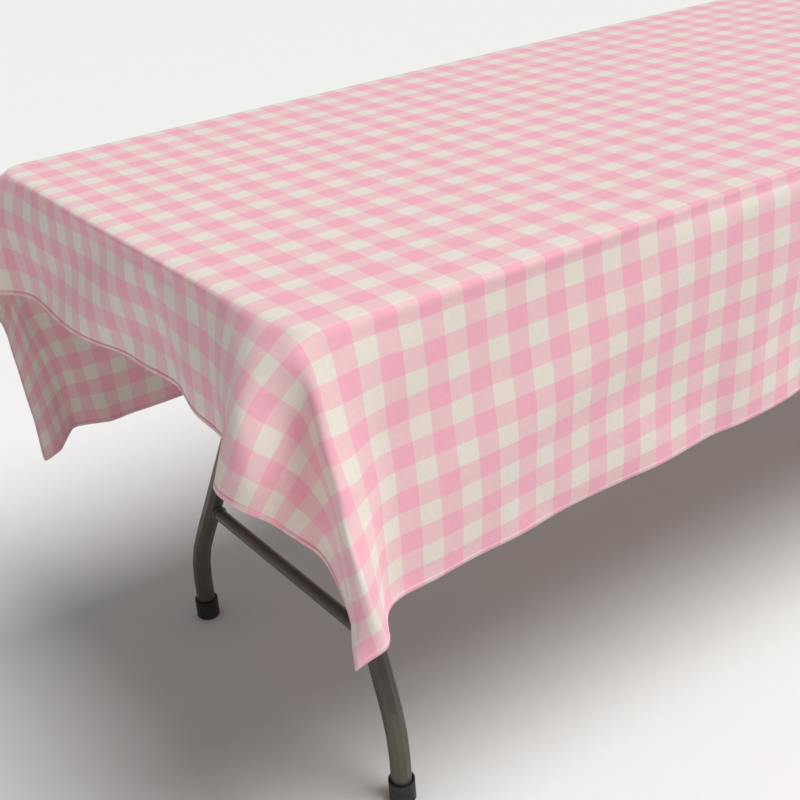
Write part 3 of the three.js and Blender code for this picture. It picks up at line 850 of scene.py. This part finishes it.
class CLOTH_OT_finishes(bpy.types.Operator):
    """Gives the table's own parts their finishes"""

    bl_idname = "cloth.finishes"
    bl_label = "Finish the table"

    def execute(self, context):
        settings = context.scene.table_settings
        finishes = {
            "steel_paint": hammered_enamel(settings),
            "moulded_plastic": moulded_plastic(settings),
            "black_plastic": moulded_rubber(settings),
            "zinc_steel": zinc_plate(settings),
        }
        for name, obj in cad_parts.items():
            if name in CLOTH_NODES:
                continue
            slot = obj.data.materials[0].name.split(".")[0]
            if slot not in finishes:
                raise RuntimeError(f"{name} has the unknown slot {slot}")
            obj.material_slots[0].material = finishes[slot]
        return {"FINISHED"}


class CLOTH_OT_stage(bpy.types.Operator):
    """Sets out the floor, the lights and the camera"""

    bl_idname = "cloth.stage"
    bl_label = "Set the stage"

    def execute(self, context):
        settings = context.scene.stage_settings
        scene = context.scene
        shape = bmesh.new()
        bmesh.ops.create_grid(shape, x_segments=2, y_segments=2, size=settings.floor_size / 2)
        bmesh.ops.translate(shape, vec=(0, 0, -FLOOR_GAP), verts=shape.verts)
        floor = new_object("floor", mesh_from("floor", shape))
        made, _, skin = material("painted_studio_floor")
        skin.inputs["Base Color"].default_value = (*settings.floor, 1)
        skin.inputs["Roughness"].default_value = 0.9
        skin.inputs["Specular IOR Level"].default_value = 0.1
        floor.data.materials.append(made)

        world = bpy.data.worlds.new("studio")
        world.use_nodes = True
        sky = world.node_tree.nodes["Background"]
        sky.inputs["Color"].default_value = (1, 1, 1, 1)
        sky.inputs["Strength"].default_value = settings.sky
        scene.world = world
        scene.view_settings.view_transform = "Standard"

        lamp = bpy.data.lights.new("softbox", "SUN")
        lamp.energy = settings.light
        lamp.angle = SOFTBOX_SPREAD
        softbox = bpy.data.objects.new("softbox", lamp)
        softbox.rotation_euler = SOFTBOX_AIM.to_track_quat("-Z", "Y").to_euler()
        scene.collection.objects.link(softbox)

        lens = bpy.data.cameras.new("camera")
        lens.lens = settings.lens
        lens.sensor_width = 36
        camera = bpy.data.objects.new("camera", lens)
        place, target = Vector(settings.camera_place), Vector(settings.camera_target)
        aim = (target - place).to_track_quat("-Z", "Y").to_matrix().to_4x4()
        roll = Matrix.Rotation(settings.camera_roll, 4, "Z")
        camera.matrix_world = Matrix.Translation(place) @ aim @ roll
        scene.collection.objects.link(camera)
        scene.camera = camera
        return {"FINISHED"}


class CLOTH_PT_panel(bpy.types.Panel):
    bl_label = "Tablecloth"
    bl_space_type = "VIEW_3D"
    bl_region_type = "UI"
    bl_category = "Tablecloth"

    def draw(self, context):
        for group_name in GROUPS:
            group = getattr(context.scene, group_name)
            for name in group.__annotations__:
                self.layout.prop(group, name)
        for operator in OPERATORS:
            self.layout.operator(operator.bl_idname)


OPERATORS = (
    CLOTH_OT_stage,
    CLOTH_OT_finishes,
    CLOTH_OT_welds,
    CLOTH_OT_sheet,
    CLOTH_OT_hem,
    CLOTH_OT_stitching,
)
GROUPS = {
    "cloth_settings": ClothSettings,
    "table_settings": TableSettings,
    "stage_settings": StageSettings,
}


def register():
    for group in GROUPS.values():
        bpy.utils.register_class(group)
    for operator in OPERATORS:
        bpy.utils.register_class(operator)
    bpy.utils.register_class(CLOTH_PT_panel)
    for name, group in GROUPS.items():
        setattr(bpy.types.Scene, name, PointerProperty(type=group))


def unregister():
    for name in GROUPS:
        delattr(bpy.types.Scene, name)
    bpy.utils.unregister_class(CLOTH_PT_panel)
    for made in (*OPERATORS, *GROUPS.values()):
        bpy.utils.unregister_class(made)


def main():
    register()
    bpy.ops.cloth.stage()
    bpy.ops.cloth.finishes()
    bpy.ops.cloth.welds()
    bpy.ops.cloth.sheet()
    bpy.ops.cloth.hem()
    bpy.ops.cloth.stitching()


if __name__ == "__main__":
    main()
